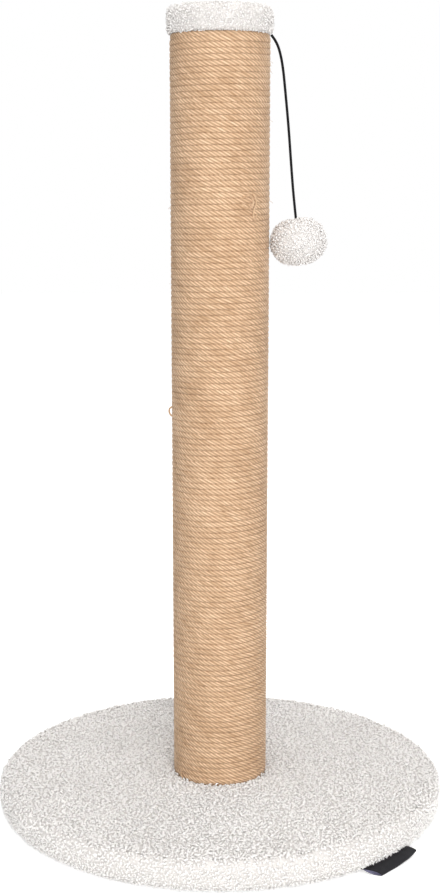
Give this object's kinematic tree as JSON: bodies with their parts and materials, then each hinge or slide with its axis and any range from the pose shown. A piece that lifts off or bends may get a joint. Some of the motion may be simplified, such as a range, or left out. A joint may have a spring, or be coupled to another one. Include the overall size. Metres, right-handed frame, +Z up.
{
  "type": "cat scratching post",
  "caption": "Free-standing cat scratching post: rope-wound column on a round plush base, with a plush cap and a soft ball hanging on an elastic cord",
  "frame": {"origin": "centre of the base's underside, on the floor", "axes": "+Z up along the post; +X towards the hanging toy; -Y towards the viewer of the picture"},
  "size_m": [0.4, 0.4, 0.6967],
  "materials": {
    "fibreboard": "raw medium-density fibreboard, matte",
    "plush": "cream boucle plush, small tufts",
    "closing_cloth": "black non-woven cloth",
    "ribbon": "black woven satin ribbon, bare",
    "filling": "polyester fibre",
    "staple_wire": "galvanised flat wire",
    "zinc_steel": "zinc-plated steel",
    "cardboard": "spiral-wound grey-brown board",
    "plug_wood": "raw softwood",
    "jute": "natural three-strand jute rope",
    "elastic": "black round elastic cord"
  },
  "bodies": {
    "post": {"base_board": "fibreboard", "base_bolt": "zinc_steel", "base_cover": "plush", "base_sheet": "closing_cloth", "base_washer": "zinc_steel", "blank_tag": "ribbon", "bottom_plug": "plug_wood", "bottom_plug_staples": "staple_wire", "cap_cover": "plush", "cap_disc": "fibreboard", "cap_screws": "zinc_steel", "cap_staples": "staple_wire", "cord_staple": "staple_wire", "cord_tail": "elastic", "hem_staples": "staple_wire", "post_tube": "cardboard", "rope_foot_turns": "jute", "rope_tacks": "staple_wire", "rope_top_turns": "jute", "rope_wrap": "jute", "sheet_staples": "staple_wire", "tee_nut": "zinc_steel", "top_plug": "plug_wood", "top_plug_staples": "staple_wire"},
    "knot": {"cord_knot": "elastic"},
    "cord": {"toy_cord": "elastic"},
    "cord_end": {"end_knot": "elastic"},
    "ball": {"ball_cover": "plush", "ball_filling": "filling"}
  },
  "joints": [
    {"name": "toy_sideways", "type": "hinge", "parent": "post", "child": "knot", "pos_m": [0.0413, 0, 0.6747], "axis": [1, 0, 0], "range_deg": [-60, 60]},
    {"name": "toy_outward", "type": "hinge", "parent": "knot", "child": "cord", "pos_m": [0.0413, 0, 0.6747], "axis": [0, -1, 0], "range_deg": [0, 70]},
    {"name": "cord_stretch", "type": "slide", "parent": "cord", "child": "cord_end", "axis": [0.1236, 0, -0.9923], "range_m": [0, 0.06], "stiffness_N_per_m": 20, "springref_m": -0.00805, "deforming": ["toy_cord"]},
    {"name": "ball_spin", "type": "hinge", "parent": "cord_end", "child": "ball", "pos_m": [0.0668, 0, 0.5043], "axis": [-0.1236, 0, 0.9923], "range_deg": [-180, 180]}
  ]
}
